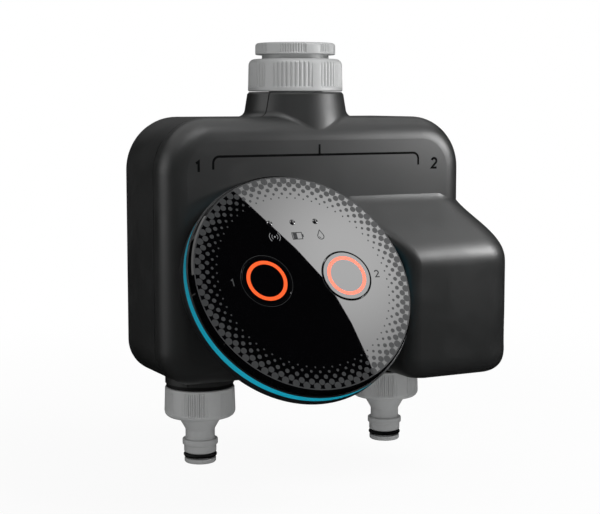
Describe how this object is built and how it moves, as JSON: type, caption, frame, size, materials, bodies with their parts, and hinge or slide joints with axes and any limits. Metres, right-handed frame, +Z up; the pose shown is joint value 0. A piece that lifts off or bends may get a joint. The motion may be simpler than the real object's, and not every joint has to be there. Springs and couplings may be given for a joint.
{
  "type": "water timer",
  "caption": "Battery tap timer: flat satin casing with a tilted round control face, a battery bulge, a tap nut on top and hose outlets below.",
  "frame": {"origin": "centre of the mouth of the inlet's tap thread, level with the adapter's top face", "axes": "+Z up along the tap thread, +X to the right seen from the front, the front faces -Y"},
  "size_m": [0.1787, 0.1188, 0.2061],
  "materials": {
    "charcoal_shell": "fine satin texture",
    "fitting_grey": "moulded, fluted grips",
    "connector_grey": "moulded, fluted grips",
    "face_black": "polished, with a printed dot pattern",
    "rim_black": "satin",
    "accent_cyan": "smooth satin",
    "ring_orange": "clear orange light ring",
    "lamp_clear": "milky light guide",
    "seal_rubber": "smooth",
    "board_green": "solder mask",
    "inner_plastic": "moulded",
    "coil_tape": "wound coil under clear tape",
    "steel": "turned and drawn steel",
    "shield_steel": "folded sheet",
    "cell_wrap": "printed wrap",
    "led_white": "small lamp body"
  },
  "bodies": {
    "casing": {"union_nut_ring": "steel", "union_washer": "seal_rubber", "filter_sieve": "inner_plastic", "valve_block": "inner_plastic", "door_hinge_pin": "steel", "front_shell": "charcoal_shell", "rear_shell": "charcoal_shell", "housing_screws": "steel", "shell_seal": "seal_rubber", "battery_tray": "rim_black", "battery_cells": "cell_wrap", "tray_contacts": "steel", "face_cover": "face_black", "status_lamps": "lamp_clear", "accent_ring": "accent_cyan", "control_housing": "rim_black", "control_gasket": "seal_rubber", "circuit_board": "board_green", "board_screws": "steel", "control_screws": "steel", "push_switches": "rim_black", "radio_module": "shield_steel", "status_leds": "led_white", "left_diaphragm": "seal_rubber", "left_valve_bonnet": "inner_plastic", "left_solenoid_coil": "coil_tape", "left_plunger_spring": "steel", "left_outlet_collar": "seal_rubber", "right_diaphragm": "seal_rubber", "right_valve_bonnet": "inner_plastic", "right_solenoid_coil": "coil_tape", "right_plunger_spring": "steel", "right_outlet_collar": "seal_rubber"},
    "union_nut": {"union_nut": "fitting_grey"},
    "tap_washer": {"tap_washer": "seal_rubber"},
    "inlet_adapter": {"inlet_adapter": "fitting_grey"},
    "battery_door": {"battery_door": "charcoal_shell", "door_contacts": "steel", "door_gasket": "seal_rubber"},
    "door_latch_screw": {"door_latch_screw": "rim_black"},
    "button_1": {"button_1": "face_black", "button_light_1": "ring_orange"},
    "button_2": {"button_2": "face_black", "button_light_2": "ring_orange"},
    "left_plunger": {"left_plunger": "steel"},
    "right_plunger": {"right_plunger": "steel"},
    "left_connector_washer": {"left_connector_washer": "seal_rubber"},
    "left_hose_connector": {"left_hose_connector": "connector_grey", "left_connector_seal": "seal_rubber"},
    "right_connector_washer": {"right_connector_washer": "seal_rubber"},
    "right_hose_connector": {"right_hose_connector": "connector_grey", "right_connector_seal": "seal_rubber"}
  },
  "joints": [
    {"name": "union_nut_spin", "type": "hinge", "parent": "casing", "child": "union_nut", "pos_m": [0, 0, -0.0158], "axis": [0, 0, 1], "continuous": true},
    {"name": "adapter_lift", "type": "slide", "parent": "union_nut", "child": "tap_washer", "axis": [0, 0, 1], "range_m": [0, 0.0074]},
    {"name": "adapter_turn", "type": "hinge", "parent": "tap_washer", "child": "inlet_adapter", "pos_m": [0, 0, 0], "axis": [0, 0, 1], "range_deg": [0, 1160]},
    {"name": "battery_door_swing", "type": "hinge", "parent": "casing", "child": "battery_door", "pos_m": [0.065, -0.0493, -0.1629], "axis": [-1, 0, 0], "range_deg": [0, 95]},
    {"name": "door_screw_turn", "type": "hinge", "parent": "battery_door", "child": "door_latch_screw", "pos_m": [0.065, -0.0297, -0.1645], "axis": [0, 0, -1], "range_deg": [0, 90]},
    {"name": "button_1_press", "type": "slide", "parent": "casing", "child": "button_1", "axis": [0, 0.8499, -0.527], "range_m": [0, 0.0008], "stiffness_N_per_m": 1200, "springref_m": -0.0008},
    {"name": "button_2_press", "type": "slide", "parent": "casing", "child": "button_2", "axis": [0, 0.8499, -0.527], "range_m": [0, 0.0008], "stiffness_N_per_m": 1200, "springref_m": -0.0008},
    {"name": "left_connector_drop", "type": "slide", "parent": "casing", "child": "left_connector_washer", "axis": [0, 0, -1], "range_m": [0, 0.0106]},
    {"name": "left_connector_turn", "type": "hinge", "parent": "left_connector_washer", "child": "left_hose_connector", "pos_m": [-0.0528, 0, -0.1678], "axis": [0, 0, -1], "range_deg": [0, 2110]},
    {"name": "left_plunger_draw", "type": "slide", "parent": "casing", "child": "left_plunger", "axis": [0, -1, 0], "range_m": [0, 0.0016], "stiffness_N_per_m": 120, "springref_m": -0.003, "deforming": ["left_plunger_spring"]},
    {"name": "right_connector_drop", "type": "slide", "parent": "casing", "child": "right_connector_washer", "axis": [0, 0, -1], "range_m": [0, 0.0106]},
    {"name": "right_connector_turn", "type": "hinge", "parent": "right_connector_washer", "child": "right_hose_connector", "pos_m": [0.0528, 0, -0.1678], "axis": [0, 0, -1], "range_deg": [0, 2110]},
    {"name": "right_plunger_draw", "type": "slide", "parent": "casing", "child": "right_plunger", "axis": [0, -1, 0], "range_m": [0, 0.0016], "stiffness_N_per_m": 120, "springref_m": -0.003, "deforming": ["right_plunger_spring"]}
  ],
  "couplings": [
    {"joint": "adapter_turn", "follows": "adapter_lift", "rad_per_m": 2721.2},
    {"joint": "left_connector_turn", "follows": "left_connector_drop", "rad_per_m": 3463.7},
    {"joint": "right_connector_turn", "follows": "right_connector_drop", "rad_per_m": 3463.7}
  ]
}
